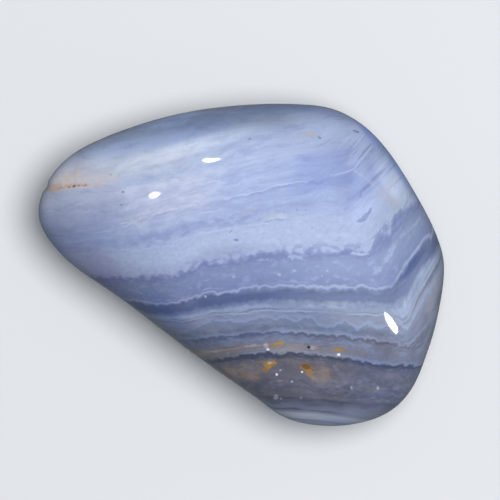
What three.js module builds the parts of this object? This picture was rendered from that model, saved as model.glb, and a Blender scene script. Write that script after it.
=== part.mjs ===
// A tumbled pebble of blue lace agate: one solid, 26 mm long, lying on its flattest side.
// Millimetres, +Z up, X along the pebble's length. The origin is under the middle of its box.
//
// Tumbling wears a broken lump down to a few broad faces that run into each other in soft bends.
// The form is made the same way. Each worn face presses the surface in towards the heart of the
// pebble, and a high power of those presses, added up, rounds the bends between the faces. Then
// each upright section is stretched a little, so that its widest point is on the plan outline.
import * as THREE from "three";
import { mergeVertices } from "three/addons/utils/BufferGeometryUtils.js";

// Driving dimensions
const REST_DEPTH = 5.4; // from the heart down to the small flat that the pebble lies on
const BEND_POWER = 9; // higher is crisper between the worn faces
const BELT_SLACK = 1.1; // how far the belt round the faces stands off the plan outline, as a ratio
const SQUARES = 26; // along each edge of the cube that is wrapped round the pebble

// The heart of the pebble in plan, from which every worn face is measured.
const HEART = new THREE.Vector2(1.3, 0.8);

// The half sizes of the block that the lump is worn from. They share the squares out evenly.
const BLOCK = new THREE.Vector3(13, 10.5, 6.5);

// The plan outline, counter-clockwise from the blunt right end.
const OUTLINE = [
  [13.05, 0.0],
  [12.6, 1.8],
  [11.3, 4.4],
  [9.3, 7.5],
  [7.8, 9.0],
  [5.9, 10.0],
  [3.2, 10.3],
  [-0.9, 10.15],
  [-4.6, 9.55],
  [-8.4, 8.3],
  [-10.9, 7.0],
  [-12.4, 5.3],
  [-13.0, 3.0],
  [-11.5, 0.6],
  [-7.4, -2.4],
  [-2.8, -5.9],
  [0.9, -8.5],
  [2.7, -9.8],
  [5.0, -10.35],
  [7.3, -10.25],
  [9.5, -9.5],
  [10.9, -8.1],
  [11.9, -5.8],
  [12.6, -3.4],
].map(([x, y]) => new THREE.Vector3(x, y, 0));

// Each worn face: the azimuth of its outward normal from +X, the normal's elevation, and the
// face's distance from the heart.
const WORN_FACES = [
  // upper side
  { azimuth: -75, elevation: 84, distance: 6.1 }, // the broad face
  { azimuth: 102, elevation: 22, distance: 9.2 }, // the steep far side
  { azimuth: 22, elevation: 50, distance: 8.5 }, // the wide right-hand face
  { azimuth: 40, elevation: 20, distance: 10.4 }, // the edge below it
  { azimuth: 165, elevation: 68, distance: 8.3 }, // the top of the nose
  { azimuth: 182, elevation: 48, distance: 10.7 }, // the slope of the nose
  { azimuth: 177, elevation: 20, distance: 14.0 }, // the tip of the nose
  { azimuth: 234, elevation: 38, distance: 7.7 }, // the long near side
  { azimuth: -72, elevation: 38, distance: 10.9 }, // the near corner
  { azimuth: -22, elevation: 30, distance: 11.7 }, // the blunt end
  // lower side
  { azimuth: 75, elevation: -79, distance: 6.2 }, // the belly, towards the far side
  { azimuth: 195, elevation: -78, distance: 6.4 }, // the belly, towards the nose
  { azimuth: -50, elevation: -80, distance: 6.1 }, // the belly, towards the near corner
  { azimuth: 97, elevation: -32, distance: 9.0 }, // under the far side
  { azimuth: 150, elevation: -50, distance: 9.8 }, // under the far side of the nose
  { azimuth: 180, elevation: -30, distance: 13.2 }, // under the tip of the nose
  { azimuth: 232, elevation: -34, distance: 7.7 }, // under the long near side
  { azimuth: -78, elevation: -42, distance: 10.4 }, // under the near corner
  { azimuth: -20, elevation: -34, distance: 11.4 }, // under the blunt end
  { azimuth: 32, elevation: -38, distance: 9.8 }, // under the right-hand face
].map(({ azimuth, elevation, distance }) => ({
  normal: aim(THREE.MathUtils.degToRad(azimuth), THREE.MathUtils.degToRad(elevation)),
  distance,
}));

// How finely the outline is looked up, and how each section is searched for its widest point.
const OUTLINE_SAMPLES = 720;
const SEARCH_SPAN = 50; // degrees above and below the heart
const SEARCH_STEP = 2; // degrees

// The smallest gap between two different vertices of the wrapped cube.
const MERGE_GAP = 1e-5;

// A unit direction from the heart.
function aim(azimuth, elevation) {
  return new THREE.Vector3(
    Math.cos(elevation) * Math.cos(azimuth),
    Math.cos(elevation) * Math.sin(azimuth),
    Math.sin(elevation),
  );
}

// The outline as a distance from the heart at each of many azimuths, in order.
function outlineTable() {
  const curve = new THREE.CatmullRomCurve3(OUTLINE, true, "centripetal");
  return curve
    .getPoints(OUTLINE_SAMPLES)
    .slice(0, OUTLINE_SAMPLES)
    .map((point) => {
      const x = point.x - HEART.x;
      const y = point.y - HEART.y;
      return { azimuth: Math.atan2(y, x), reach: Math.hypot(x, y) };
    })
    .sort((a, b) => a.azimuth - b.azimuth);
}

const outline = outlineTable();

function outlineReach(azimuth) {
  const next = Math.max(0, outline.findIndex((sample) => sample.azimuth > azimuth));
  const before = outline[(next + outline.length - 1) % outline.length];
  const after = outline[next];
  const turn = 2 * Math.PI;
  const gap = (after.azimuth - before.azimuth + turn) % turn;
  const share = ((azimuth - before.azimuth + turn) % turn) / gap;
  return THREE.MathUtils.lerp(before.reach, after.reach, share);
}

// The distance from the heart to the worn surface, along a unit direction.
function wornDistance(direction) {
  const azimuth = Math.atan2(direction.y, direction.x);
  const belt = outlineReach(azimuth) * BELT_SLACK;
  let press = (Math.hypot(direction.x, direction.y) / belt) ** BEND_POWER;
  for (const { normal, distance } of WORN_FACES) {
    press += (Math.max(0, normal.dot(direction)) / distance) ** BEND_POWER;
  }
  return press ** (-1 / BEND_POWER);
}

// How far the section at an azimuth reaches from the upright line through the heart.
function sectionReach(azimuth) {
  let widest = 0;
  for (let angle = -SEARCH_SPAN; angle <= SEARCH_SPAN; angle += SEARCH_STEP) {
    const elevation = THREE.MathUtils.degToRad(angle);
    const reach = wornDistance(aim(azimuth, elevation)) * Math.cos(elevation);
    widest = Math.max(widest, reach);
  }
  return widest;
}

// A point of the surface. What would reach lower than the flat that it lies on is worn off.
function surfacePoint(direction) {
  const azimuth = Math.atan2(direction.y, direction.x);
  const point = direction.clone().multiplyScalar(wornDistance(direction));
  if (point.z < -REST_DEPTH) point.multiplyScalar(REST_DEPTH / -point.z);
  const stretch = outlineReach(azimuth) / sectionReach(azimuth);
  return new THREE.Vector3(HEART.x + point.x * stretch, HEART.y + point.y * stretch, point.z);
}

function pebbleGeometry() {
  const cube = new THREE.BoxGeometry(2, 2, 2, SQUARES, SQUARES, SQUARES);
  cube.deleteAttribute("normal");
  cube.deleteAttribute("uv");
  const geometry = mergeVertices(cube, MERGE_GAP);
  const position = geometry.getAttribute("position");
  for (let i = 0; i < position.count; i++) {
    // equal angles, not equal lengths, along each edge of the cube keep the squares even
    const corner = new THREE.Vector3().fromBufferAttribute(position, i);
    corner.set(
      Math.tan((corner.x * Math.PI) / 4),
      Math.tan((corner.y * Math.PI) / 4),
      Math.tan((corner.z * Math.PI) / 4),
    );
    const point = surfacePoint(corner.multiply(BLOCK).normalize());
    position.setXYZ(i, point.x, point.y, point.z);
  }
  geometry.computeBoundingBox();
  const { min, max } = geometry.boundingBox;
  geometry.translate(-(min.x + max.x) / 2, -(min.y + max.y) / 2, -min.z);
  geometry.computeVertexNormals();
  return geometry;
}

// The stone
const polishedAgate = new THREE.MeshStandardMaterial({
  color: 0xa9b8dc,
  roughness: 0.12,
  metalness: 0,
});

const stone = new THREE.Mesh(pebbleGeometry(), polishedAgate);
stone.name = "stone";

const pebble = new THREE.Group();
pebble.add(stone);

export default pebble;
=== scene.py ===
import math

import bmesh
import bpy
import numpy as np
from mathutils import Matrix, Vector, noise as perlin
from mathutils.bvhtree import BVHTree


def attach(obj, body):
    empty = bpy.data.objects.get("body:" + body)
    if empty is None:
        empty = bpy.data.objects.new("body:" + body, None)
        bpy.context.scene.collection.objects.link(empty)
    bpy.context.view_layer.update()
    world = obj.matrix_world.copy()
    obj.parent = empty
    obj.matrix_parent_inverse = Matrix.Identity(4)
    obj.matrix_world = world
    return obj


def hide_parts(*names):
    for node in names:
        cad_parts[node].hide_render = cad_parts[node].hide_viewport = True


# A tumbled pebble of blue lace agate. Metres, +Z up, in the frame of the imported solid.

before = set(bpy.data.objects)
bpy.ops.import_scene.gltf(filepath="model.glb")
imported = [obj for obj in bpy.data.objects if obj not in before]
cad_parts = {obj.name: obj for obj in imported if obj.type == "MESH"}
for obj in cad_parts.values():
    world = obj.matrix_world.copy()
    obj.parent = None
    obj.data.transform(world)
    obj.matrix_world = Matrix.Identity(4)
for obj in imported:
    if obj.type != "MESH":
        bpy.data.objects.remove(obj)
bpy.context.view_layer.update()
scene = bpy.context.scene

# The photograph looks straight down. At the stone's widest level one of its pixels covers this
# much, and this pixel lies over the frame's origin.
PIXEL = 0.064e-3
PHOTO_ORIGIN = (241.46, 265.08)
PHOTO_CENTRE = (250, 250)
PHOTO_WIDTH = 500
WIDEST_LEVEL = 0.006
CAMERA_RISE = 0.25  # above the widest level


def photo_point(column, row, height=WIDEST_LEVEL):
    """The place at the widest level that a photo pixel shows, lifted or dropped to a height."""
    x = (column - PHOTO_ORIGIN[0]) * PIXEL
    y = (PHOTO_ORIGIN[1] - row) * PIXEL
    return Vector((x, y, height))


EYE = photo_point(*PHOTO_CENTRE, WIDEST_LEVEL + CAMERA_RISE)


def sight(column, row):
    """The direction in which the camera sees a photo pixel."""
    return (photo_point(column, row) - EYE).normalized()


def seen(surface, column, row):
    """The place on the stone that a photo pixel shows, and the surface's normal there."""
    place, normal, *_ = surface.ray_cast(EYE, sight(column, row))
    return place, normal


def photo_place(x, y, z):
    """The photo's column and row of places in the frame."""
    nearer = CAMERA_RISE / (CAMERA_RISE + WIDEST_LEVEL - z)
    column = PHOTO_CENTRE[0] + (PHOTO_ORIGIN[0] + x / PIXEL - PHOTO_CENTRE[0]) * nearer
    row = PHOTO_CENTRE[1] + (PHOTO_ORIGIN[1] - y / PIXEL - PHOTO_CENTRE[1]) * nearer
    return column, row


# Camera

SENSOR = 36  # mm
CLIP_START = 0.001


def add_camera():
    data = bpy.data.cameras.new("camera")
    data.sensor_width = SENSOR
    data.lens = CAMERA_RISE * SENSOR / (PHOTO_WIDTH * PIXEL)
    data.clip_start = CLIP_START
    camera = bpy.data.objects.new("camera", data)
    camera.location = EYE
    scene.collection.objects.link(camera)
    scene.camera = camera


# The stone's mesh

MERGE_GAP = 1e-7
PAIRING = 1.3  # how strongly neighbours decide which two triangles make a square
ROUNDING = 2  # subdivision levels

# The bend at the top of the nose is worn rounder than the solid's: it is smoothed once within
# each of these distances of a photo pixel.
NOSE_BEND = (148, 198)
NOSE_WEAR = [0.0042, 0.0042, 0.0040, 0.0040, 0.0038, 0.0038, 0.0036, 0.0036, 0.0034, 0.0034]
WEAR_SHARE = 0.5  # of the way to the middle of a vertex's neighbours


def wear_nose(build):
    for reach in NOSE_WEAR:
        near = [
            vertex for vertex in build.verts
            if vertex.co.z > WIDEST_LEVEL
            and (vertex.co.xy - photo_point(*NOSE_BEND).xy).length < reach
        ]
        bmesh.ops.smooth_vert(
            build, verts=near, factor=WEAR_SHARE, use_axis_x=True, use_axis_y=True, use_axis_z=True
        )


# The stained crack ends in a shallow chip of the nose's edge, as seen from above.
CHIP = (45.5, 186)  # photo pixel
CHIP_REACH = 6.5  # pixels
CHIP_DEPTH = 1.7  # pixels
CHIP_INWARDS = Vector((0.87, -0.5))


def chip_nose(mesh):
    for vertex in mesh.vertices:
        away = (vertex.co.xy - photo_point(*CHIP).xy).length / (CHIP_REACH * PIXEL)
        if away < 1:
            push = CHIP_INWARDS * CHIP_DEPTH * PIXEL * (1 - away**2) ** 2
            vertex.co.xy = vertex.co.xy + push


def smooth_copy(node, name):
    """The node's solid as even squares, rounded by subdivision, in a mesh of its own."""
    build = bmesh.new()
    build.from_mesh(node.data)
    bmesh.ops.remove_doubles(build, verts=build.verts, dist=MERGE_GAP)
    bmesh.ops.join_triangles(
        build,
        faces=build.faces,
        angle_face_threshold=math.pi,
        angle_shape_threshold=math.pi,
        topology_influence=PAIRING,
    )
    wear_nose(build)
    mesh = bpy.data.meshes.new(name)
    build.to_mesh(mesh)
    build.free()
    rough = bpy.data.objects.new(name, mesh)
    scene.collection.objects.link(rough)
    modifier = rough.modifiers.new("rounding", "SUBSURF")
    modifier.levels = ROUNDING
    modifier.render_levels = ROUNDING
    shape = rough.evaluated_get(bpy.context.evaluated_depsgraph_get())
    rough.data = bpy.data.meshes.new_from_object(shape)
    rough.modifiers.clear()
    chip_nose(rough.data)
    rough.data.shade_smooth()
    return rough


# The beds. The agate grew in thin beds, one on another, that run across the stone and lean over
# backwards as they go down. Each trace says where one bed meets the upper side, from left to
# right in photo pixels. Its key is the bed's height, the photo row of the bed at mid-stone.
BED_TRACES = {
    149: [
        (38, 193), (62, 189.5), (97, 187), (128, 183), (178, 172), (217, 163), (248, 156),
        (285, 149), (320, 142), (345, 137), (355, 131), (362, 124),
    ],
    186: [
        (60, 233), (100, 228), (130, 222.5), (156, 215), (178, 209), (217, 201), (248, 193),
        (272, 188), (304, 182.6), (331, 175.6), (352, 170.7), (366, 158), (375, 146), (384, 137),
    ],
    216.5: [
        (55, 255), (72, 253), (100, 249), (142, 247), (167, 243), (184, 236), (205, 230),
        (226, 226), (260, 221), (292, 215.5), (340, 210), (360, 204), (372, 192), (388, 175),
        (398, 165),
    ],
    252.5: [
        (70, 277), (103, 277), (156, 276.5), (177, 275), (190, 269.5), (202, 264), (233, 259.5),
        (266, 254), (303, 251.5), (332, 251), (362, 252), (370, 252), (385, 237), (398, 219),
        (412, 203), (420, 196),
    ],
    285.5: [
        (100, 297), (128, 299), (150, 303), (166, 304), (190, 299), (202, 293), (222, 291.5),
        (253, 287), (278, 285), (299, 286.5), (328, 287.5), (363, 286), (385, 288.5), (391, 286),
        (397, 279), (404, 268), (412, 255.5), (421, 243), (433, 231),
    ],
    311: [
        (140, 318), (167, 320.5), (187, 321), (216, 315.3), (247, 312.4), (273, 310.4),
        (319, 312.5), (356, 314.8), (385, 315), (400, 321), (408, 321), (413, 308), (420, 291),
        (429, 275), (440, 256),
    ],
    332.5: [
        (160, 338), (190, 341), (226, 337), (251.5, 334), (273, 332), (296, 333.5), (320, 335.8),
        (346, 337.2), (365, 340.5), (391, 344), (409, 347.5), (418, 341), (426, 330), (436, 315),
    ],
    343.5: [
        (180, 350), (201, 352), (219, 351), (247, 346.6), (281, 343.5), (310, 346), (346, 349),
        (367, 352), (400, 356), (425, 356),
    ],
    353: [
        (200, 362), (212, 361), (232, 357), (245, 354.5), (263, 353.3), (290, 352.8),
        (314, 354.5), (335, 358), (356, 361), (370, 363.5), (391, 365.5), (424, 367),
    ],
    398: [(240, 395), (258, 397), (300, 399), (351, 403.6), (395, 405)],
    409: [(255, 407), (269, 408.5), (314, 410.5), (335, 413.5), (363, 417.7), (395, 420)],
}
BED_HEIGHTS = np.array(sorted(BED_TRACES))
COLUMNS = np.arange(PHOTO_WIDTH)

# How far a bed goes back for each unit that it goes down, at these photo columns.
LEAN_COLUMNS = (330, 385)
LEANS = (0.9, 0.4)
LEAN_LEVEL = 0.010  # the height at which a bed's row is counted
TRACE_EASE = 3  # pixels over which a trace's corners are eased
RIM = 0.25  # a trace is read where the stone's upright normal is more than this
END_SPAN = 12  # pixels at the end of a trace that say how it goes on out of sight
END_SLOPE = 0.9  # and it goes on no steeper than this
BED_GAP = 0.3  # two beds stay this far apart, as a ratio of the distance at mid-stone
KEEL_BED = 285.5  # the bed that the others keep their distance from
WAVE_LENGTH = 28
WAVE_HEIGHT = 4
WAVE_SHAPE = (1.0, 2.0, 3)  # how rough, how much finer each layer is, and how many layers


def straight_row(columns, rows, levels, leaning=True):
    """Photo rows, moved to where their beds are at the level where rows are counted."""
    leans = np.interp(columns, LEAN_COLUMNS, LEANS) if leaning else 0
    return rows + leans * (LEAN_LEVEL - levels) / PIXEL


def eased(values, reach):
    """Values on an even grid, each replaced by the mean of its neighbours."""
    padded = np.pad(values, reach, mode="edge")
    return np.convolve(padded, np.ones(2 * reach + 1) / (2 * reach + 1), mode="valid")


def trace_rows(trace, surface, leaning):
    """One bed's straight row at each column. Beyond its trace it goes on as its ends do."""
    known = []
    rows = []
    traced = np.array(trace)
    for column in range(math.ceil(traced[0, 0]), math.floor(traced[-1, 0]) + 1):
        row = np.interp(column, *traced.T)
        place, normal = seen(surface, column, row)
        if place is not None and normal.z > RIM:
            known.append(column)
            rows.append(straight_row(column, row, place.z, leaning))
    first = np.clip((rows[END_SPAN] - rows[0]) / END_SPAN, -END_SLOPE, END_SLOPE)
    last = np.clip((rows[-1] - rows[-1 - END_SPAN]) / END_SPAN, -END_SLOPE, END_SLOPE)
    bed = np.interp(COLUMNS, known, rows)
    bed += np.minimum(COLUMNS - known[0], 0) * first + np.maximum(COLUMNS - known[-1], 0) * last
    return eased(bed, TRACE_EASE)


def trace_beds(surface, leaning=True):
    """The straight rows of all traced beds, kept in order outwards from the keel bed."""
    beds = np.array([trace_rows(BED_TRACES[up], surface, leaning) for up in BED_HEIGHTS])
    keel = list(BED_HEIGHTS).index(KEEL_BED)
    gaps = BED_GAP * np.diff(BED_HEIGHTS)
    for low in range(keel, len(beds) - 1):
        beds[low + 1] = np.maximum(beds[low + 1], beds[low] + gaps[low])
    for low in range(keel - 1, -1, -1):
        beds[low] = np.minimum(beds[low], beds[low + 1] - gaps[low])
    return beds


def height_in_beds(beds, column, row):
    """How high up through the beds a straight row is."""
    here = np.array([np.interp(column, COLUMNS, bed) for bed in beds])
    below = BED_HEIGHTS[0] + row - here[0]
    above = BED_HEIGHTS[-1] + row - here[-1]
    up = np.where(row < here[0], below, above)
    for low in range(len(beds) - 1):
        share = (row - here[low]) / (here[low + 1] - here[low])
        between = BED_HEIGHTS[low] + share * (BED_HEIGHTS[low + 1] - BED_HEIGHTS[low])
        up = np.where((share >= 0) & (share < 1), between, up)
    return up


def lay_beds(stone, beds, upright_beds):
    """Gives each vertex its place in the agate: along its bed, up through the beds, and back.

    All three are counted in photo pixels. The material's patterns are drawn in them. A second
    place has upright beds that wave a little, for the streaks and clouds. A third is the photo's
    column and row and the height, for what is marked on the upper side.
    """
    points = np.empty(len(stone.data.vertices) * 3)
    stone.data.vertices.foreach_get("co", points)
    x, y, z = points.reshape(-1, 3).T
    column, row = photo_place(x, y, z)
    up = height_in_beds(beds, column, straight_row(column, row, z))
    keel = beds[list(BED_HEIGHTS).index(KEEL_BED)]
    along = np.interp(column, COLUMNS, np.cumsum(np.hypot(1, np.gradient(keel))))
    back = (z + LEANS[0] * y) / math.hypot(1, LEANS[0]) / PIXEL
    places = np.stack([along, up, back], axis=1)
    wave = [perlin.fractal(Vector(place) / WAVE_LENGTH, *WAVE_SHAPE) for place in places]
    upright = height_in_beds(upright_beds, column, row)
    waved = np.stack([along, upright + np.array(wave) * WAVE_HEIGHT, back], axis=1)
    shown = np.stack([column, row, z / PIXEL], axis=1)
    for name, values in (("strata", places), ("waved_strata", waved), ("photo_place", shown)):
        attribute = stone.data.attributes.new(name, "FLOAT_VECTOR", "POINT")
        attribute.data.foreach_set("vector", values.ravel())


# Floor and light

FLOOR_SIZE = 3.0
FLOOR_COLOUR = (0.62, 0.63, 0.65, 1)
FLOOR_ROUGHNESS = 0.9
FLOOR_DROP = 1e-5  # keeps the floor clear of the flat that the stone rests on

# One wide soft lamp and a dim even surrounding
KEY_PLACE = (0.05, 0.015, 0.30)
KEY_AIM = (0, 0, WIDEST_LEVEL)
KEY_SIZE = 0.16
KEY_POWER = 1.1
SURROUNDING = (0.8, 0.9, 1.0, 1)
SURROUNDING_LIGHT = 0.2

# Three small lamps, seen as glints in the polish. For each glint in the photo: its centre, its
# length and width, and how far it is turned counter-clockwise from the photo's rows, in pixels
# and degrees.
GLINTS = {
    "nose": ((154.6, 194.8), (10, 4), 4),
    "far": ((210.3, 160.4), (17, 4.6), 8),
    "right": ((391.6, 324.2), (22.5, 6), -59),
}
GLINT_RISE = 0.25  # from the stone to each small lamp
GLINT_BRIGHTNESS = 60.0
GLINT_PATCH = (-3, 0, 3)  # pixels to either side over which the tilt of the polish is averaged


def new_lamp(name, shape, size, power):
    data = bpy.data.lights.new(name, "AREA")
    data.shape = shape
    data.size = size
    data.energy = power
    lamp = bpy.data.objects.new(name, data)
    scene.collection.objects.link(lamp)
    return lamp


def mirrored(surface, column, row):
    """Where the camera's ray goes after the polish mirrors it, and the place that it leaves."""
    patch = Vector((0, 0, 0))
    for across in GLINT_PATCH:
        for down in GLINT_PATCH:
            patch += seen(surface, column + across, row + down)[1]
    normal = patch.normalized()
    place = seen(surface, column, row)[0]
    ray = sight(column, row)
    return place, ray - 2 * ray.dot(normal) * normal


def add_glint(name, surface, centre, size, turn):
    """A small flat lamp, shaped so that the curved polish shows it at the glint's own shape."""
    place, away = mirrored(surface, *centre)
    lamp_place = place + away * GLINT_RISE
    turned = Matrix.Rotation(math.radians(turn), 2)
    edges = []
    for half in (Vector((size[0] / 2, 0)), Vector((0, size[1] / 2))):
        step = turned @ half
        ends = []
        for sign in (1, -1):
            start, aim = mirrored(surface, centre[0] + sign * step.x, centre[1] - sign * step.y)
            reach = (lamp_place - start).dot(away) / aim.dot(away)
            ends.append(start + aim * reach)
        edges.append((ends[0] - ends[1]) / 2)
    side = edges[0].normalized()
    up = away.cross(side)
    spread = np.array([[edge.dot(side), edge.dot(up)] for edge in edges]).T
    axes, halves, _ = np.linalg.svd(spread)
    long_side = (side * axes[0, 0] + up * axes[1, 0]).normalized()
    power = GLINT_BRIGHTNESS * math.pi * math.pi * halves[0] * halves[1]
    lamp = new_lamp(f"glint_{name}", "ELLIPSE", 2 * halves[0], power)
    lamp.data.size_y = 2 * halves[1]
    turn_to = Matrix((long_side, away.cross(long_side), away)).transposed()
    lamp.matrix_world = Matrix.Translation(lamp_place) @ turn_to.to_4x4()
    lamp.visible_diffuse = False


def add_floor():
    data = bpy.data.meshes.new("floor")
    half = FLOOR_SIZE / 2
    corners = [(-half, -half), (half, -half), (half, half), (-half, half)]
    data.from_pydata([(x, y, -FLOOR_DROP) for x, y in corners], [], [(0, 1, 2, 3)])
    floor = bpy.data.objects.new("floor", data)
    scene.collection.objects.link(floor)
    material = bpy.data.materials.new("pale_floor")
    material.use_nodes = True
    shader = material.node_tree.nodes["Principled BSDF"]
    shader.inputs["Base Color"].default_value = FLOOR_COLOUR
    shader.inputs["Roughness"].default_value = FLOOR_ROUGHNESS
    data.materials.append(material)
    # The floor throws no light back up at the stone and isn't mirrored in it.
    floor.visible_diffuse = False
    floor.visible_glossy = False


def add_light(surface):
    world = bpy.data.worlds.new("surrounding")
    world.use_nodes = True
    background = world.node_tree.nodes["Background"]
    background.inputs["Color"].default_value = SURROUNDING
    background.inputs["Strength"].default_value = SURROUNDING_LIGHT
    scene.world = world
    key = new_lamp("key", "DISK", KEY_SIZE, KEY_POWER)
    key.location = KEY_PLACE
    key.rotation_mode = "QUATERNION"
    key.rotation_quaternion = (Vector(KEY_PLACE) - Vector(KEY_AIM)).to_track_quat("Z", "Y")
    key.visible_glossy = False
    for name, glint in GLINTS.items():
        add_glint(name, surface, *glint)


# The agate's colour

class Field:
    """A socket of a material. Arithmetic on fields adds Math nodes."""

    def __init__(self, tree, socket=None):
        self.tree = tree
        self.socket = socket

    def node(self, kind, settings=None, values=None, output=0):
        """Adds a node and returns one of its outputs as a field. The settings come first."""
        node = self.tree.nodes.new(kind)
        for name, setting in (settings or {}).items():
            if name == "stops":
                elements = node.color_ramp.elements
                while len(elements) < len(setting):
                    elements.new(1.0)
                for element, (place, colour) in zip(elements, setting):
                    element.position = place
                    element.color = colour
            else:
                setattr(node, name, setting)
        named = values if isinstance(values, dict) else dict(enumerate(values or []))
        for name, value in named.items():
            if isinstance(value, Field):
                self.tree.links.new(value.socket, node.inputs[name])
            else:
                node.inputs[name].default_value = value
        return Field(self.tree, node.outputs[output])

    def maths(self, operation, *values):
        return self.node("ShaderNodeMath", {"operation": operation}, values)

    def vector(self, operation, *values, output="Vector"):
        return self.node("ShaderNodeVectorMath", {"operation": operation}, values, output)

    def __add__(self, other):
        return self.maths("ADD", self, other)

    def __radd__(self, other):
        return self.maths("ADD", other, self)

    def __sub__(self, other):
        return self.maths("SUBTRACT", self, other)

    def __rsub__(self, other):
        return self.maths("SUBTRACT", other, self)

    def __mul__(self, other):
        return self.maths("MULTIPLY", self, other)

    def __rmul__(self, other):
        return self.maths("MULTIPLY", other, self)

    def __abs__(self):
        return self.maths("ABSOLUTE", self)


def rise(field, low, high):
    """0 where the field is at low or beyond, 1 at high or beyond, with a smooth step between."""
    settings = {"interpolation_type": "SMOOTHSTEP", "clamp": False}
    values = {"Value": field, "From Min": low, "From Max": high}
    return field.node("ShaderNodeMapRange", settings, values)


def crest(field, centre, reach):
    """1 where the field is at the centre, falling smoothly to 0 at the reach on either side."""
    return rise(abs(field - centre), reach, 0.0)


# The colour sockets of a Mix node, which go by number because its sockets share their names.
MIX_FACTOR = 0
MIX_UNDER = 6
MIX_OVER = 7
MIX_RESULT = 2


def mix(mask, under, over, blend="MIX"):
    values = {MIX_FACTOR: mask, MIX_UNDER: under, MIX_OVER: over}
    settings = {"data_type": "RGBA", "blend_type": blend}
    return under.node("ShaderNodeMix", settings, values, MIX_RESULT)


# The kinds of the node groups' inputs. The others are numbers.
INPUT_KINDS = {
    "under": "Color", "tint": "Color", "ratio": "Color", "place": "Vector", "centre": "Vector",
    "across": "Vector", "down": "Vector",
}


def recipe(name, result, build, inputs):
    """A node group with these inputs. Its one result, of this kind, is made by build."""
    tree = bpy.data.node_groups.new(name, "ShaderNodeTree")
    labels = inputs.split()
    for label in labels:
        kind = INPUT_KINDS.get(label, "Float")
        tree.interface.new_socket(label, in_out="INPUT", socket_type=f"NodeSocket{kind}")
    tree.interface.new_socket("result", in_out="OUTPUT", socket_type=f"NodeSocket{result}")
    start = tree.nodes.new("NodeGroupInput")
    made = build(*(Field(tree, start.outputs[label]) for label in labels))
    end = tree.nodes.new("NodeGroupOutput")
    tree.links.new(made.socket, end.inputs["result"])
    return {"node_tree": tree}


def make_window(field, start, full, last, end):
    return rise(field, start, full) * rise(field, end, last)


def make_thin_bed(under, bed, column, broken, height, half, tint, strength, first, last):
    span = rise(column, first, first + THIN_BED_TAPER) * rise(column, last, last - THIN_BED_TAPER)
    return mix(crest(bed, height, half) * broken * span * strength, under, tint)


def squared_reach(place, centre, across, down):
    """The squared distance from a mark's centre, counted in its half sizes."""
    away = place.vector("SUBTRACT", place, centre)
    side = away.vector("DOT_PRODUCT", away, across, output="Value")
    drop = away.vector("DOT_PRODUCT", away, down, output="Value")
    return side * side + drop * drop


def make_mark(under, place, ragged, upper, centre, across, down, tint, strength, raggedness, full):
    reach = squared_reach(place, centre, across, down) + ragged * raggedness
    return mix(rise(reach, 1.0, full) * upper * strength, under, tint)


# Multiplies the colour within a soft ellipse: used both for painted light and shade and for changes
# of tone.
def make_soft_tone_and_painted_light(under, place, upper, centre, across, down, ratio):
    reach = squared_reach(place, centre, across, down)
    return mix(rise(reach, 1.0, 0.0) * upper, under, ratio, blend="MULTIPLY")


THIN_BED_TAPER = 30  # pixels over which a thin bed fades in and out
WINDOW = recipe("window", "Float", make_window, "field start full last end")
THIN_BED = recipe(
    "thin_bed", "Color", make_thin_bed,
    "under bed column broken height half tint strength first last",
)
MARK = recipe(
    "mark", "Color", make_mark,
    "under place ragged upper centre across down tint strength raggedness full",
)
SOFT_TONE_AND_PAINTED_LIGHT = recipe(
    "soft_tone_and_painted_light", "Color", make_soft_tone_and_painted_light,
    "under place upper centre across down ratio",
)


def window(field, start, full, last, end):
    """0 up to the start, 1 from full to last, and 0 again from the end."""
    return field.node("ShaderNodeGroup", WINDOW, [field, start, full, last, end])


PALETTE = {
    "far blue": (0.40, 0.48, 0.70),
    "pale far": (0.43, 0.51, 0.72),
    "milk": (0.36, 0.425, 0.595),
    "pale sky": (0.35, 0.415, 0.60),
    "sky": (0.31, 0.375, 0.575),
    "cornflower": (0.29, 0.355, 0.56),
    "violet": (0.24, 0.28, 0.48),
    "periwinkle": (0.21, 0.265, 0.435),
    "iris": (0.18, 0.22, 0.40),
    "lace": (0.34, 0.40, 0.56),
    "wisp": (0.44, 0.51, 0.69),
    "indigo": (0.08, 0.105, 0.225),
    "blue slate": (0.15, 0.19, 0.32),
    "pale slate": (0.21, 0.25, 0.385),
    "mauve": (0.19, 0.195, 0.285),
    "slate": (0.17, 0.205, 0.315),
    "steel": (0.115, 0.145, 0.235),
    "smoke": (0.15, 0.165, 0.235),
    "dark smoke": (0.095, 0.10, 0.15),
    "ink": (0.05, 0.06, 0.10),
    "black": (0.01, 0.01, 0.012),
    "dusk": (0.13, 0.127, 0.16),
    "warm grey": (0.18, 0.18, 0.215),
    "foot grey": (0.21, 0.24, 0.345),
    "foot pale": (0.40, 0.44, 0.56),
    "umber line": (0.095, 0.09, 0.13),
    "cream": (0.52, 0.52, 0.60),
    "peach": (0.60, 0.54, 0.50),
    "tan": (0.50, 0.40, 0.35),
    "straw": (0.42, 0.40, 0.45),
    "buff": (0.26, 0.225, 0.21),
    "ochre": (0.24, 0.17, 0.095),
    "amber": (0.36, 0.205, 0.055),
    "burnt amber": (0.16, 0.085, 0.02),
    "rust": (0.20, 0.12, 0.09),
    "rose": (0.31, 0.235, 0.215),
    "rosy grey": (0.36, 0.35, 0.43),
    "fawn": (0.19, 0.16, 0.145),
    "blush": (0.42, 0.45, 0.58),
    "pit": (0.16, 0.19, 0.28),
    "painted glint": (0.70, 0.72, 0.78),
    "grey speck": (0.30, 0.33, 0.41),
}

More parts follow.
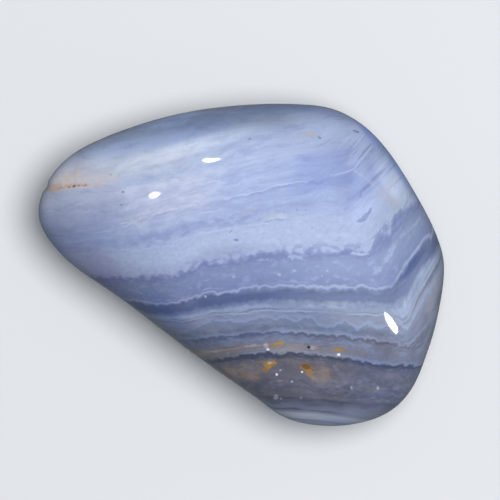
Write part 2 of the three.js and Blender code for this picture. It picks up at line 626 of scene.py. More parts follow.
# The colour of each bed, from the far side of the stone to the near side and then underneath.
BEDS = [
    (108, "far blue"), (124, "pale far"), (130, "pale far"), (138, "pale sky"), (156, "pale sky"),
    (163, "sky"), (182, "sky"), (188, "cornflower"), (200, "sky"), (207, "cornflower"),
    (213, "sky"), (218, "pale sky"), (226, "milk"), (243, "milk"), (250, "pale sky"),
    (253, "violet"), (256, "iris"), (262, "periwinkle"), (270, "periwinkle"), (283, "iris"),
    (287.2, "iris"), (289, "blue slate"), (293, "indigo"), (298, "indigo"), (303, "blue slate"),
    (307, "pale slate"), (314, "slate"), (321, "slate"), (326, "steel"), (331, "slate"),
    (334, "steel"), (339, "smoke"), (346, "warm grey"), (351, "warm grey"), (353, "ink"),
    (356.5, "dark smoke"), (363, "dusk"), (374, "dusk"), (386, "dark smoke"), (394, "dusk"),
    (398, "dark smoke"), (402, "smoke"), (407, "foot grey"), (411, "foot grey"),
    (418, "foot pale"), (430, "pale sky"), (436, "periwinkle"), (447, "sky"), (463, "milk"),
    (470, "iris"), (484, "cornflower"), (500, "milk"), (506, "indigo"), (512, "blue slate"),
    (530, "sky"), (548, "milk"), (556, "periwinkle"), (580, "sky"),
]
RAMP_STOPS = 31
RAMP_JOIN = 0.01  # pixels over which one ramp takes over from another

# Wide shades: what the colour is multiplied by, then where the shade starts, is full, is still
# full and has ended, first up through the beds and then across the photo's columns. Some have
# no start or no end on the stone.
OPEN_START = (0, 1)
OPEN_END = (700, 701)
SHADES = {
    "pale bed on the far side": ((1.30, 1.22, 1.08), (124, 133, 142, 152), (*OPEN_START, 130, 250)),
    "pale clouds": ((1.32, 1.22, 1.09), (148, 158, 184, 208), (95, 140, 190, 238)),
    # painted shade: the colour darkens towards the nose end, where the light falls off
    "painted shade towards the nose": ((0.68, 0.69, 0.74), (145, 188, *OPEN_END), (*OPEN_START, 50, 235)),
    "painted shade at the nose's foot": ((0.78, 0.75, 0.87), (236, 262, 325, 345), (*OPEN_START, 90, 150)),
    "dim middle": ((0.87, 0.85, 0.89), (234, 247, 285, 291), (120, 165, 240, 310)),
    "bright right band": ((1.13, 1.10, 1.06), (253, 262, 285, 289), (285, 335, *OPEN_END)),
    "right slates": ((1.30, 1.26, 1.14), (304, 310, 318, 326), (315, 360, *OPEN_END)),
    "right slates below": ((1.14, 1.08, 1.00), (318, 326, 336, 342), (345, 380, *OPEN_END)),
    "pale under the lace": ((1.95, 1.8, 1.43), (287, 295.5, 300, 307), (245, 345, 412, 450)),
    "dim slates": ((0.92, 0.91, 0.92), (328, 334, 349, 353), (*OPEN_START, 205, 300)),
    "blue near corner": ((0.86, 0.93, 1.08), (340, 347, 398, 404), (335, 370, *OPEN_END)),
    "violet knot": ((0.86, 0.87, 0.96), (150, 160, 192, 200), (280, 310, 348, 362)),
    "blue shoulder": ((1.14, 1.14, 1.18), (125, 140, 225, 240), (345, 362, *OPEN_END)),
}

# Clouds, streaks and mottling between the beds: how long and high their patches are, the seed
# and the detail of their noise, where the noise makes no patch and where a full one, the beds
# and, if not all, the columns that they lie in, as in SHADES, the colour and the strength.
PALE_BED = (214, 226, 246, 252)
FAR_HALF = (116, 132, 214, 230)
CLOUDS = [
    ((9, 6), 54, 3.0, (-0.04, 0.2), PALE_BED, None, "wisp", 0.35),
    ((7, 5), 55, 3.0, (0.0, 0.22), PALE_BED, None, "violet", 0.25),
    ((34, 4.5), 20, 3.0, (-0.05, 0.25), FAR_HALF, None, "wisp", 0.35),
    ((28, 6), 21, 3.0, (-0.02, 0.22), FAR_HALF, None, "violet", 0.4),
    ((15, 7), 22, 3.0, (-0.04, 0.18), (124, 140, 205, 216), (90, 125, 235, 300), "wisp", 0.35),
    ((12, 6), 23, 3.0, (-0.08, 0.12), (200, 207, 215, 221), (70, 130, 245, 320), "violet", 0.6),
    ((9, 7), 24, 3.0, (-0.04, 0.14), (241, 249, 254, 259), (130, 200, *OPEN_END), "iris", 0.5),
    ((12, 5), 25, 3.0, (0.0, 0.14), (250, 254, 258, 262), None, "pale sky", 0.22),
    ((9, 6), 26, 3.0, (0.0, 0.2), (256, 262, 280, 284), None, "sky", 0.45),
    ((22, 7), 27, 3.0, (0.0, 0.2), (286, 290, 296, 302), None, "indigo", 0.4),
    ((12, 5), 28, 3.0, (-0.04, 0.16), (306, 314, 340, 348), None, "periwinkle", 0.45),
    ((16, 8), 51, 3.0, (0.0, 0.2), (310, 316, 326, 331), None, "mauve", 0.6),
    ((12, 8), 29, 3.0, (-0.04, 0.2), (354, 362, 392, 398), None, "warm grey", 0.5),
    ((4, 16), 30, 2.0, (0.0, 0.2), (358, 368, 392, 398), None, "dark smoke", 0.4),
]
# These lie over the swirl of the near corner.
KNOTS = [
    ((7, 4), 52, 3.0, (-0.02, 0.2), (304, 312, 350, 356), None, "mauve", 0.5),
    ((8, 3.5), 53, 3.0, (0.02, 0.2), (304, 312, 392, 398), None, "pale slate", 0.35),
]

# Thin beds: the height, the half thickness, the colour, the strength, which of the broken
# patterns it is broken by, and the photo columns that it runs between.
THIN_BEDS = [
    (185.5, 1.4, "wisp", 0.7, 1, (95, 420)),
    (188.2, 2.4, "violet", 0.6, 2, (130, 420)),
    (172, 2.0, "wisp", 0.2, 2, (100, 330)),
    (178, 2.4, "violet", 0.2, 0, (90, 330)),
    (163, 2.4, "violet", 0.2, 1, (100, 330)),
    (219, 1.6, "wisp", 0.45, 0, (60, 300)),
    (256.3, 1.4, "iris", 0.6, 1, (90, 380)),
    (281.5, 1.6, "lace", 0.35, 2, (110, 400)),
    (285.4, 2.5, "lace", 0.75, 3, (60, 460)),
    (290, 3.2, "indigo", 0.6, 3, (100, 255)),
    (290.5, 2.2, "ink", 0.35, 0, (120, 370)),
    (289.5, 2.6, "indigo", 0.3, 3, (385, 470)),
    (293, 2.4, "indigo", 0.4, 1, (200, 460)),
    (305.5, 2.8, "pale sky", 0.35, 2, (150, 460)),
    (308.6, 1.2, "steel", 0.75, 0, (150, 330)),
    (309.4, 1.1, "steel", 0.5, 1, (290, 460)),
    (310.6, 1.2, "pale sky", 0.35, 1, (150, 460)),
    (312.4, 1.2, "steel", 0.75, 2, (130, 330)),
    (312.8, 1.1, "steel", 0.5, 0, (290, 460)),
    (315.5, 2.4, "pale slate", 0.5, 1, (130, 330)),
    (309, 1.6, "ink", 0.6, 0, (385, 470)),
    (313, 1.6, "ink", 0.5, 3, (390, 470)),
    (330.2, 1.5, "pale slate", 0.75, 3, (180, 460)),
    (332.8, 2.4, "indigo", 0.8, 3, (170, 330)),
    (332.8, 2.0, "umber line", 0.85, 3, (270, 432)),
    (341.8, 1.4, "dark smoke", 0.4, 2, (190, 340)),
    (343.8, 1.4, "buff", 0.75, 2, (170, 300)),
    (347, 1.2, "buff", 0.5, 1, (180, 290)),
    (345.4, 1.0, "dark smoke", 0.5, 0, (200, 290)),
    (350.4, 1.9, "pale slate", 0.65, 3, (225, 460)),
    (349.6, 1.6, "indigo", 0.4, 1, (180, 280)),
    (354.8, 3.6, "ink", 0.88, 3, (175, 305)),
    (354.4, 3.0, "ink", 0.4, 2, (260, 340)),
    (353.8, 2.2, "ink", 0.5, 3, (300, 460)),
    (391, 2.2, "dark smoke", 0.5, 1, (230, 370)),
    (397.6, 2.4, "ink", 0.5, 0, (230, 370)),
    (402, 1.8, "ink", 0.35, 1, (230, 340)),
    (408.6, 1.7, "ink", 0.6, 2, (230, 350)),
    (448, 1.6, "fawn", 0.7, 1, (60, 460)),
]

# The big arches of one thin bed, traced in photo pixels.
ARCHES = [
    (186, 331), (197, 327), (208, 322), (222, 320), (236, 321), (246, 321.5), (256, 318),
    (267, 317), (277, 319), (284, 317), (291, 320.5), (298, 320.5), (304, 318), (311, 317.5),
    (316, 321), (320, 325), (327, 326.5), (334, 326), (339, 323), (345, 321), (350, 323),
    (354, 327), (358, 329.5), (362, 326), (369, 323.5), (376, 328), (384, 326.5), (391, 323.5),
    (398, 323), (407, 328),
]
ARCH_SPAN = (176, 211, 430, 450)  # the columns that they lie in, as in SHADES

# Marks on the upper side: centre, half length and half width, turn clockwise from the photo's
# rows, colour, strength, and how ragged the edge is. Pixels and degrees.
MARKS = [
    # the stained crack at the tip of the nose
    ((84, 178), (46, 11), -10, "blush", 0.6, 0.4),
    ((66, 180), (30, 11), -12, "cream", 0.8, 0.4),
    ((62, 178), (22, 9), -14, "peach", 0.5, 0.5),
    ((98, 180), (28, 8), -8, "peach", 0.35, 0.6),
    ((62, 184.5), (18, 6), -12, "peach", 0.7, 0.5),
    ((54, 188.3), (11, 4.6), -14, "tan", 0.8, 0.7),
    ((68, 186.6), (11, 3), -6, "tan", 0.8, 0.7),
    ((81, 185.2), (9, 2.8), -3, "tan", 0.6, 0.7),
    ((97, 185.4), (10, 2.2), 0, "tan", 0.35, 0.8),
    ((60, 188.2), (5, 1.2), -12, "ochre", 0.3, 1.0),
    ((84, 185), (6, 1.2), -4, "ochre", 0.3, 1.0),
    ((74, 186.2), (2.4, 1.6), -30, "rust", 0.95, 0.4),
    ((69, 187), (2.6, 1.1), -5, "rust", 0.6, 0.4),
    ((78.5, 185.4), (2, 1.7), 0, "rust", 0.5, 0.4),
    ((85, 185.7), (2.2, 1.3), 0, "ochre", 0.4, 0.4),
    ((111, 174.5), (1.5, 1.3), 0, "ochre", 0.35, 0.3),
    # pits
    ((123, 192), (1.9, 1.4), 0, "pit", 0.8, 0.5),
    ((121, 205), (2.0, 1.2), 0, "pit", 0.7, 0.5),
    ((236, 240), (3.4, 1.4), 4, "pit", 0.75, 0.5),
    ((249.6, 138.8), (1.8, 1.4), 0, "pit", 0.6, 0.5),
    ((319.5, 137.8), (2.6, 1.3), 30, "pit", 0.7, 0.5),
    ((354.6, 130.8), (2.0, 1.2), 25, "pit", 0.8, 0.5),
    ((357.4, 131.8), (2.4, 1.2), 12, "pit", 0.8, 0.5),
    ((297, 210), (1.1, 0.9), 0, "pit", 0.6, 0.3),
    ((306, 210), (1.1, 0.9), 0, "pit", 0.6, 0.3),
    ((312, 228), (1.1, 0.9), 0, "pit", 0.5, 0.3),
    # the tan stain on the far side
    ((310, 134.6), (12, 2.4), -3, "straw", 0.7, 1.0),
    ((311, 134.2), (8, 1.7), -3, "tan", 0.7, 1.0),
    ((289, 139), (8, 1.6), -5, "straw", 0.4, 1.0),
    # the steep thin beds of the far right shoulder
    ((358, 145.5), (14, 1.4), -51, "violet", 0.6, 0.5),
    ((352, 146), (12, 1.2), -50, "violet", 0.45, 0.5),
    ((355.5, 149), (13, 1.1), -50, "wisp", 0.5, 0.4),
    ((364, 152.5), (14, 1.4), -50, "violet", 0.7, 0.5),
    ((368, 155), (14, 1.2), -46, "violet", 0.45, 0.5),
    ((360.5, 149.5), (13, 1.1), -50, "wisp", 0.5, 0.4),
    ((363, 157), (17, 1.6), -52, "wisp", 0.6, 0.5),
    ((374, 163), (16, 1.3), -46, "violet", 0.5, 0.4),
    ((382, 166), (13, 1.2), -46, "wisp", 0.45, 0.4),
    ((389, 171), (12, 1.3), -46, "violet", 0.5, 0.4),
    ((396.5, 182), (12, 1.4), -45, "violet", 0.45, 0.4),
    ((393, 181), (12, 1.2), -45, "wisp", 0.4, 0.4),
    ((345, 141), (14, 2.2), -48, "wisp", 0.3, 0.6),
    ((343, 172.5), (15, 1.3), -16, "wisp", 0.4, 0.6),
    ((378, 175), (12, 1.8), -42, "violet", 0.7, 0.6),
    ((381, 178), (13, 1.6), -42, "wisp", 0.4, 0.6),
    ((365.5, 188), (9, 1.7), -38, "violet", 0.75, 0.6),
    ((360.5, 195), (5, 1.4), -80, "violet", 0.6, 0.6),
    ((374, 161), (22, 9), -50, "cornflower", 0.6, 0.7),
    ((388, 187), (17, 9), -45, "blush", 0.6, 0.7),
    ((352, 160), (9, 5), -50, "wisp", 0.35, 0.8),
    # the healed crack across them
    ((362.5, 176), (14, 1.6), 35, "cream", 0.4, 1.0),
    ((383, 194), (20, 1.6), 41, "cream", 0.4, 1.0),
    ((394, 204), (15, 7), 42, "straw", 0.4, 0.9),
    # the grey wedge
    ((361, 220.3), (5.5, 2.6), -12, "violet", 0.8, 0.3),
    ((365.5, 216.5), (7.5, 3.4), -46, "violet", 0.8, 0.3),
    ((369.8, 211), (4.6, 1.9), -68, "violet", 0.8, 0.3),
    # the blush patch and its fissures
    ((277, 216), (21, 5), -6, "cream", 0.55, 0.8),
    ((252, 210), (18, 4), -14, "blush", 0.4, 0.8),
    ((269, 221.2), (6, 0.8), -14, "violet", 0.8, 0.5),
    ((279, 219.8), (6.5, 0.7), 0, "violet", 0.8, 0.5),
    ((231, 231), (4, 0.8), -56, "violet", 0.7, 0.5),
    # the violet edge of the right-hand bed, in soft blots
    ((377, 238), (7, 4), -50, "iris", 0.55, 1.2),
    ((386, 228), (8, 4), -55, "iris", 0.55, 1.2),
    ((397, 217), (9, 4), -50, "iris", 0.65, 1.2),
    # pale dashes in the blue bed
    ((391, 252), (16, 2.8), -60, "pale sky", 0.7, 0.8),
    ((401, 236), (9, 2.2), -55, "pale sky", 0.45, 0.8),
    ((413, 226), (17, 1.8), -47, "pale sky", 0.5, 0.7),
    ((377.5, 269.5), (5.5, 4.5), 0, "pale sky", 0.6, 1.0),
    ((361, 254), (12, 1.8), 3, "wisp", 0.6, 1.0),
    ((296, 257), (9, 2.6), 0, "pale sky", 0.7, 1.2),
    ((262, 260), (7, 1.8), -8, "pale sky", 0.4, 1.2),
    # the pinkish edge of the blunt end
    ((434, 292), (34, 8), 100, "rosy grey", 0.55, 0.5),
    # stains along one bed of the near side
    ((203, 353), (12, 3), -4, "buff", 0.9, 1.0),
    ((224, 350.6), (22, 2.2), -8, "buff", 0.5, 0.8),
    ((222, 352), (20, 0.9), -8, "rust", 0.6, 1.0),
    ((233, 346.4), (18, 0.8), -8, "rust", 0.45, 1.0),
    ((199, 352.5), (5, 1.6), 6, "ochre", 0.4, 1.0),
    ((216, 351.4), (6, 1.8), -8, "straw", 0.35, 1.0),
    ((251, 346), (8, 1.8), -7, "straw", 0.4, 1.4),
    ((247, 347.6), (7, 1.0), -7, "ochre", 0.5, 1.2),
    ((265.5, 345.5), (4.5, 2.6), 40, "straw", 0.6, 1.0),
    ((283, 349.5), (15, 3), -2, "buff", 0.5, 1.0),
    ((277, 344), (10, 3.0), -14, "ochre", 0.9, 0.9),
    ((279.5, 343.2), (6.5, 1.8), -10, "amber", 0.8, 0.8),
    ((295, 347), (14, 3.4), 3, "buff", 0.4, 1.0),
    ((313.8, 347.8), (4.5, 2.2), 6, "straw", 0.5, 0.8),
    ((314.5, 348), (3, 1.2), 6, "amber", 0.5, 0.8),
    ((308.6, 347.2), (2.3, 1.8), 0, "ink", 1.0, 0.3),
    ((308.6, 347.2), (1.6, 1.2), 0, "black", 1.0, 0.2),
    ((323, 346.3), (6, 1.2), 3, "rust", 0.5, 1.0),
    ((339, 349.3), (8.5, 2.8), 4, "ochre", 0.9, 0.8),
    ((339.5, 349.6), (6.5, 1.7), 4, "amber", 0.8, 0.6),
    ((365, 352.5), (5, 1.6), 6, "ochre", 0.6, 1.0),
    # stains of the near corner
    ((250, 371), (22, 9), 12, "rose", 0.6, 0.7),
    ((233, 374), (17, 6), 34, "rose", 0.8, 0.7),
    ((225, 373.5), (9, 3), 40, "rust", 0.7, 0.7),
    ((250, 377), (10, 4), 18, "rose", 0.7, 0.8),
    ((243, 375), (6, 4), 35, "ochre", 0.4, 1.0),
    ((287, 374), (17, 13), 0, "dark smoke", 0.5, 0.7),
    ((321, 375), (14, 12), 20, "fawn", 0.85, 0.7),
    ((324, 374), (9, 10), 0, "rose", 0.35, 0.6),
    ((262, 362.5), (12, 1.8), -4, "ochre", 0.4, 1.2),
    ((269.5, 363.8), (8.5, 3.8), -8, "ochre", 1.0, 0.8),
    ((267, 367), (6.5, 4.2), -55, "amber", 1.0, 0.6),
    ((273, 362.8), (5, 2.2), -6, "amber", 0.9, 0.6),
    ((269.6, 363), (2.8, 1.5), -12, "tan", 0.9, 0.5),
    ((266, 370), (2.2, 2.4), 0, "rust", 0.6, 0.5),
    ((306.5, 368.5), (9.5, 5.4), 42, "ochre", 0.9, 0.8),
    ((309.5, 372), (7.5, 3.6), 55, "amber", 0.6, 0.8),
    ((306, 366.4), (5.6, 2.8), 22, "burnt amber", 0.95, 0.5),
    ((314, 379), (5, 3), 60, "buff", 0.5, 1.0),
    ((279, 381), (4.5, 1.4), 0, "buff", 0.6, 1.0),
    ((290, 360.5), (14, 1.6), 3, "fawn", 0.5, 1.0),
    # clouds and knots of the near corner
    ((366, 371), (30, 6.5), 6, "dark smoke", 0.7, 0.7),
    ((390, 376), (18, 7), 5, "mauve", 0.6, 0.7),
    ((345, 377), (12, 8), 0, "mauve", 0.4, 0.7),
    ((345, 367), (9, 7), -30, "dark smoke", 0.5, 0.7),
    ((370, 388), (16, 8), 0, "warm grey", 0.6, 0.7),
    ((300, 390), (22, 5), 0, "warm grey", 0.35, 0.7),
    ((400, 346), (16, 4), 0, "pale slate", 0.5, 0.7),
    ((403, 354), (5, 3), 0, "periwinkle", 0.5, 0.7),
    # small white and grey specks; the white ones are painted glints of tiny pits in the polish
    ((267.9, 349.4), (2.0, 1.5), 20, "painted glint", 0.8, 0.4),
    ((338.6, 354.6), (2.2, 1.6), 0, "painted glint", 0.9, 0.4),
    ((276.7, 374.3), (1.6, 1.6), 0, "painted glint", 1.0, 0.3),
    ((302, 371.8), (1.5, 1.5), 0, "painted glint", 1.0, 0.3),
    ((280.4, 370.2), (1.2, 1.0), 0, "painted glint", 0.45, 0.3),
    ((292, 381.6), (1.6, 1.1), 0, "painted glint", 0.4, 0.3),
    ((276, 397), (3.6, 3.0), -40, "grey speck", 0.9, 0.4),
    ((281, 398.6), (1.5, 1.4), 0, "grey speck", 0.7, 0.4),
    ((301, 398), (1.8, 1.5), 0, "grey speck", 0.5, 0.4),
    ((378, 388), (2.0, 2.2), 0, "painted glint", 0.4, 0.5),
    ((351.5, 388), (2.6, 1.4), 75, "grey speck", 0.7, 0.4),
    ((205.5, 296.5), (1.6, 1.6), 0, "wisp", 0.5, 0.4),
    ((279, 274.5), (2.2, 1.6), 0, "wisp", 0.5, 0.8),
    ((327, 271), (2.2, 1.6), 0, "wisp", 0.4, 0.8),
    ((322, 276), (1.8, 1.4), 0, "wisp", 0.35, 0.8),
    ((234, 277), (1.8, 1.4), 0, "wisp", 0.4, 0.8),
    ((294.5, 271), (1.8, 1.4), 0, "wisp", 0.4, 0.8),
]
MARK_FADE = (55, 80)  # the heights, in pixels above the floor, where the marks fade out
SOFT_AREA = 60  # a mark is soft where its half length times its half width is more than this
# A mark ends at a squared distance of 1, counted in its half sizes, and is full at this one.
CRISP_FULL = 0.25
SOFT_FULL = -0.4  # so the middle of a soft mark isn't quite full
RAGGED_DEPTH = 4  # how much a raggedness of 1 moves that distance

# Wide soft shades of the upper side: centre, half length and half width, turn clockwise, and
# what the colour is multiplied by in the middle. Many of them are painted light and shade: they
# darken the steep far side, paint a sheen along the far ridge, and lighten rims and the blunt
# end. The rest change the stone's own tone.
SOFT_TONES_AND_PAINTED_LIGHT = [
    # painted shade of the steep far side, which faces away from the lamp, with its darker end and
    # its lighter upper edge
    ((165, 132), (125, 20), -14, (0.72, 0.80, 0.96)),  # the lens of the steep far side
    ((280, 107), (48, 10), -3, (0.72, 0.84, 0.97)),  # its dark end
    ((170, 120), (40, 9), -15, (1.2, 1.27, 1.35)),
    # a painted sheen along the far ridge
    ((185, 149), (88, 10), -16, (1.26, 1.23, 1.15)),  # the pale band along its lower edge
    # painted light: the far corner is lit brighter
    ((335, 123), (70, 22), 15, (1.2, 1.19, 1.2)),  # the pale far corner
    ((391, 180), (44, 13), 57, (1.28, 1.26, 1.17)),
    ((355, 188), (26, 16), 0, (0.90, 0.91, 0.94)),
    # painted shade, bluish, along the steep edge of the far shoulder
    ((372, 133), (32, 8), 46, (0.66, 0.78, 1.06)),  # the blue edge of the far shoulder
    ((405, 171), (50, 10), 57, (0.64, 0.77, 1.06)),
    ((52, 150), (30, 16), -45, (0.80, 1.0, 1.22)),
    ((70, 195), (62, 48), 0, (1.08, 1.0, 0.93)),  # the warm nose
    ((42, 210), (32, 16), 90, (1.18, 1.16, 1.15)),
    ((60, 168), (28, 14), -50, (1.16, 1.2, 1.22)),
    ((95, 265), (48, 20), 36, (0.92, 0.85, 0.91)),
    ((225, 249), (36, 12), -8, (0.91, 0.91, 0.92)),
    # painted light that lifts the shaded slope of the long near side
    ((190, 312), (36, 16), 42, (1.32, 1.28, 1.24)),  # the long near side
    ((168, 312), (42, 12), 42, (0.96, 1.03, 1.18)),
    ((322, 344), (34, 11), 3, (0.88, 0.86, 0.86)),
    ((256, 332), (30, 10), -5, (0.82, 0.81, 0.81)),
    ((312, 365), (50, 15), 4, (0.87, 0.83, 0.80)),
    ((392, 346), (28, 10), 8, (0.82, 0.80, 0.80)),
    ((345, 375), (22, 8), 4, (0.86, 0.87, 0.88)),
    ((370, 354), (40, 9), 9, (0.87, 0.88, 0.9)),
    ((288, 404), (28, 11), 12, (0.88, 0.87, 0.90)),
    ((325, 408), (48, 10), 6, (0.90, 0.88, 0.92)),
    ((306, 420), (38, 8), 8, (1.2, 1.12, 0.98)),  # the greyer rim of the near corner
    # painted light along the lower rim of the blunt end
    ((421, 360), (30, 9), 112, (1.14, 1.16, 1.2)),
    ((411.5, 265), (27, 6), -53, (0.55, 0.61, 0.76)),  # dark along the steep end of the lace
    ((426, 269), (24, 6), -55, (1.18, 1.2, 1.16)),
    # painted light: the blunt end and the rim below it lit brighter and more evenly
    ((414, 325), (100, 26), 98, (1.3, 1.29, 1.27)),  # the bright blunt end
    ((382, 399), (46, 15), -20, (1.32, 1.31, 1.3)),
]

# The polish, and how the light goes a little way into the stone
POLISH = {
    "Roughness": 0.06,
    "IOR": 1.54,
    "Subsurface Weight": 0.2,
    "Subsurface Radius": (1.0, 1.1, 1.3),
    "Subsurface Scale": 0.0004,
}

SEED_STEP = (7.3, 3.1, 5.7)  # how far each step of a seed moves its pattern
DOME_HEIGHT = 60  # how far up through the beds each dome of a pattern goes on
DOME_TOP = 0.3


def rgba(name):
    """A colour of the palette, as a material's socket takes it."""
    return (*PALETTE[name], 1)


def mark_axes(length, breadth, turn):
    """What turns a distance in photo pixels into shares of a turned mark's half sizes."""
    cosine = math.cos(math.radians(turn))
    sine = math.sin(math.radians(turn))
    across = (cosine / length, sine / length, 0)
    down = (-sine / breadth, cosine / breadth, 0)
    return across, down


class Agate:
    """The stone's material while it is made: its places, the patterns drawn there, its colour."""

    def __init__(self, tree):
        self.rock = Field(tree)
        self.strata = self.attribute("strata")
        self.up = self.rock.node("ShaderNodeSeparateXYZ", values=[self.strata], output="Y")
        self.photo = self.attribute("photo_place")
        self.column = self.rock.vector("DOT_PRODUCT", self.photo, (1, 0, 0), output="Value")
        self.level = self.rock.vector("DOT_PRODUCT", self.photo, (0, 0, 1), output="Value")
        self.waved = self.attribute("waved_strata")
        self.bed = self.up
        self.colour = None

    def attribute(self, name):
        return self.rock.node("ShaderNodeAttribute", {"attribute_name": name}, output="Vector")

    def scaled(self, place, size, seed):
        """A place counted in lengths and heights of a pattern, and moved for its seed."""
        length, height = size
        shrink = (1 / length, 1 / height, 1 / length)
        shift = tuple(seed * step for step in SEED_STEP)
        values = {"Vector": place, "Location": shift, "Scale": shrink}
        return self.rock.node("ShaderNodeMapping", values=values)

    def noise(self, size, seed, detail=2.0, waved=False):
        """A cloudy field, from -0.5 to 0.5. Its clouds are about this long and high."""
        place = self.scaled(self.waved if waved else self.strata, size, seed)
        values = {"Vector": place, "Scale": 1.0, "Detail": detail}
        return self.rock.node("ShaderNodeTexNoise", values=values) - 0.5

    def domes(self, length, seed):
        """Round domes of about this length, side by side."""
        place = self.scaled(self.strata, (length, DOME_HEIGHT), seed)
        values = {"Vector": place, "Scale": 1.0}
        reach = self.rock.node("ShaderNodeTexVoronoi", values=values, output="Distance")
        return DOME_TOP - reach * reach

    def paint(self, mask, name):
        self.colour = mix(mask, self.colour, rgba(name))

    def shade(self, mask, ratio):
        self.colour = mix(mask, self.colour, ratio, blend="MULTIPLY")

    def use(self, group, *values):
        """Puts the colour through a node group, with the values of the group's other inputs."""
        self.colour = self.rock.node("ShaderNodeGroup", group, [self.colour, *values])


def ripple_beds(agate):
    """Moves the beds up and down. Each ripple has a height, a reach either way, and a pattern."""
    noise = agate.noise
    domes = agate.domes
    wander = noise((60, 60), 11, 1.0)
    ripples = [
        (186, 14, domes(15, 1) * 4.0 + noise((8, 30), 2, 3.0) * 6.0 + wander * 6.0),
        (216, 14, noise((9, 12), 3, 3.0) * 14.0),
        (251, 15, domes(7, 4) * 8.0 + noise((12, 12), 7, 3.0) * 16.0),
        (285, 12, domes(9, 5) * 5.0 + noise((4, 20), 6) * 3.0 + wander * 2.0),
        (300, 10, noise((6, 12), 13, 3.0) * 8.0),
        (312, 10, noise((18, 20), 17, 3.0) * 8.0),
        (332, 7, domes(8, 8) * 5.0 + noise((3, 20), 14) * 2.0),
        (353, 10, domes(11, 9) * 4.0 + noise((6, 16), 10, 3.0) * 7.0),
        (376, 22, noise((16, 12), 15, 3.0) * 40.0),
        (402, 16, noise((22, 14), 16, 3.0) * 10.0),
    ]
    for height, reach, ripple in ripples:
        agate.bed = agate.bed + crest(agate.up, height, reach) * ripple


def colour_beds(agate):
    """Gives each bed its colour, with one ramp after another, because a ramp holds few stops."""
    for first in range(0, len(BEDS) - 1, RAMP_STOPS - 1):
        piece = BEDS[first:first + RAMP_STOPS]
        low = piece[0][0]
        high = piece[-1][0]
        share = (agate.bed - low) * (1 / (high - low))
        stops = [((height - low) / (high - low), rgba(name)) for height, name in piece]
        ramp = agate.rock.node("ShaderNodeValToRGB", {"stops": stops}, [share])
        if agate.colour:
            ramp = mix(rise(agate.bed, low - RAMP_JOIN, low), agate.colour, ramp)
        agate.colour = ramp


def paint_clouds(agate, clouds):
    """Paints a table of clouds. They wave more than the beds do."""
    for size, seed, detail, spread, in_beds, in_columns, name, strength in clouds:
        mask = rise(agate.noise(size, seed, detail, waved=True), *spread)
        mask = mask * window(agate.up, *in_beds)
        if in_columns:
            mask = mask * window(agate.column, *in_columns)
        agate.paint(mask * strength, name)


def add_clouds(agate):
    paint_clouds(agate, CLOUDS)
    swirl = crest(agate.noise((30, 13), 36, 1.0, waved=True), 0.02, 0.07)
    swirl = swirl * window(agate.up, 354, 362, 392, 400)
    swirl = swirl * window(agate.column, 290, 335, 460, 480)
    agate.paint(swirl * 0.3, "mauve")
    paint_clouds(agate, KNOTS)


def add_thin_beds(agate):
    """The first three patterns break a thin bed into dashes. The last one hardly breaks it."""
    whole = agate.noise((24, 30), 31)
    broken = [rise(agate.noise((26, 30), seed), -0.12, 0.08) for seed in (32, 33, 34)]
    broken.append(rise(whole, -0.35, -0.15))
    for height, half, name, strength, pattern, span in THIN_BEDS:
        course = (agate.bed, agate.column, broken[pattern])
        agate.use(THIN_BED, *course, height, half, rgba(name), strength, *span)


def add_arches(agate, surface, beds):
    """A pale line along the arches, and a darker band under it."""
    columns = [column for column, row in ARCHES]
    heights = []
    for column, row in ARCHES:
        spot = seen(surface, column, row)[0]
        heights.append(height_in_beds(beds, column, straight_row(column, row, spot.z)).item())
    low = min(heights)
    rise_of_arches = max(heights) - low
    first = columns[0]
    length = columns[-1] - first
    stops = [
        ((column - first) / length, (1, 1, 1, (height - low) / rise_of_arches))
        for column, height in zip(columns, heights)
    ]
    share = (agate.column - first) * (1 / length)
    arch = agate.rock.node("ShaderNodeValToRGB", {"stops": stops}, [share], output="Alpha")
    arch.socket.node.color_ramp.interpolation = "CARDINAL"
    arch = arch * rise_of_arches + low
    depth = agate.up + agate.noise((5, 30), 35, 3.0) * 4.0
    depth = depth + agate.domes(5, 37) * 3.0 - arch
    inside = window(agate.column, *ARCH_SPAN)
    agate.paint(window(depth, 0.0, 1.5, 3.0, 10.0) * inside * 0.45, "steel")
    agate.paint(crest(depth, -0.5, 2.6) * inside * 0.6, "periwinkle")


def add_shades(agate):
    for ratio, in_beds, in_columns in SHADES.values():
        mask = window(agate.up, *in_beds) * window(agate.column, *in_columns)
        agate.shade(mask, (*ratio, 1))


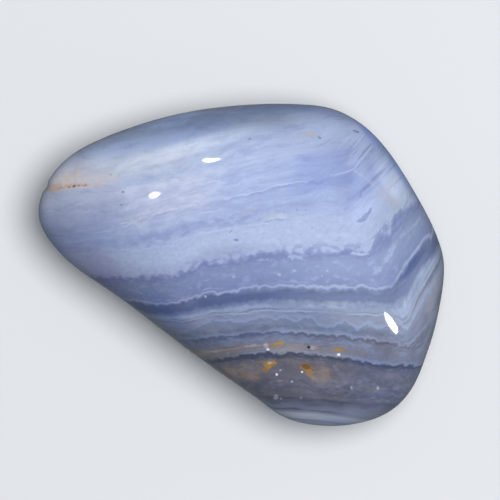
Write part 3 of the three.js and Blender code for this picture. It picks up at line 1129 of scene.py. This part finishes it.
def add_marks(agate):
    """The marks of the upper side, then its soft shades, many of which are painted light and shade.
    """
    upper = rise(agate.level, *MARK_FADE)
    fine = agate.noise((3, 3), 60, 3.0)
    broad = agate.noise((9, 9), 61, 4.0)
    for centre, (length, breadth), turn, name, strength, raggedness in MARKS:
        across, down = mark_axes(length, breadth, turn)
        soft = length * breadth > SOFT_AREA
        edge = broad if soft else fine
        full = SOFT_FULL if soft else CRISP_FULL
        spot = (agate.photo, edge, upper, (*centre, 0), across, down)
        agate.use(MARK, *spot, rgba(name), strength, raggedness * RAGGED_DEPTH, full)
    for centre, (length, breadth), turn, ratio in SOFT_TONES_AND_PAINTED_LIGHT:
        across, down = mark_axes(length, breadth, turn)
        agate.use(SOFT_TONE_AND_PAINTED_LIGHT, agate.photo, upper, (*centre, 0), across, down, (*ratio, 1))


def add_texture(agate):
    """The fine texture: shares by which the colour is raised and lowered from place to place."""
    up = agate.up
    noise = agate.noise
    texture = noise((3, 18), 40) * window(up, 288, 296, 398, 402) * 0.16
    streaked = rise(up, 124, 150) - window(up, 212, 224, 300, 308) * 0.7
    texture = texture + noise((26, 3), 41, 3.0, waved=True) * streaked * 0.16
    texture = texture + noise((5, 4), 56, 3.0) * window(up, 212, 224, 280, 286) * 0.16
    texture = texture + noise((7, 4), 42, 3.0, waved=True) * rise(up, 110, 140) * 0.14
    texture = texture + noise((60, 34), 43) * 0.12 + noise((1.6, 1.6), 44) * 0.16
    agate.shade(1.0, 1.0 + texture)


def add_agate(surface, beds):
    material = bpy.data.materials.new("banded_agate")
    material.use_nodes = True
    tree = material.node_tree
    shader = tree.nodes["Principled BSDF"]
    for name, value in POLISH.items():
        shader.inputs[name].default_value = value
    agate = Agate(tree)
    ripple_beds(agate)
    colour_beds(agate)
    add_clouds(agate)
    add_thin_beds(agate)
    add_arches(agate, surface, beds)
    add_shades(agate)
    add_marks(agate)
    add_texture(agate)
    tree.links.new(agate.colour.socket, shader.inputs["Base Color"])
    return material


add_camera()
add_floor()
stone = smooth_copy(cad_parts["stone"], "agate_pebble")
surface = BVHTree.FromObject(stone, bpy.context.evaluated_depsgraph_get())
beds = trace_beds(surface)
lay_beds(stone, beds, trace_beds(surface, leaning=False))
add_light(surface)
stone.data.materials.clear()
stone.data.materials.append(add_agate(surface, beds))
scene.view_settings.view_transform = "Standard"

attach(stone, "root")
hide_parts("stone")
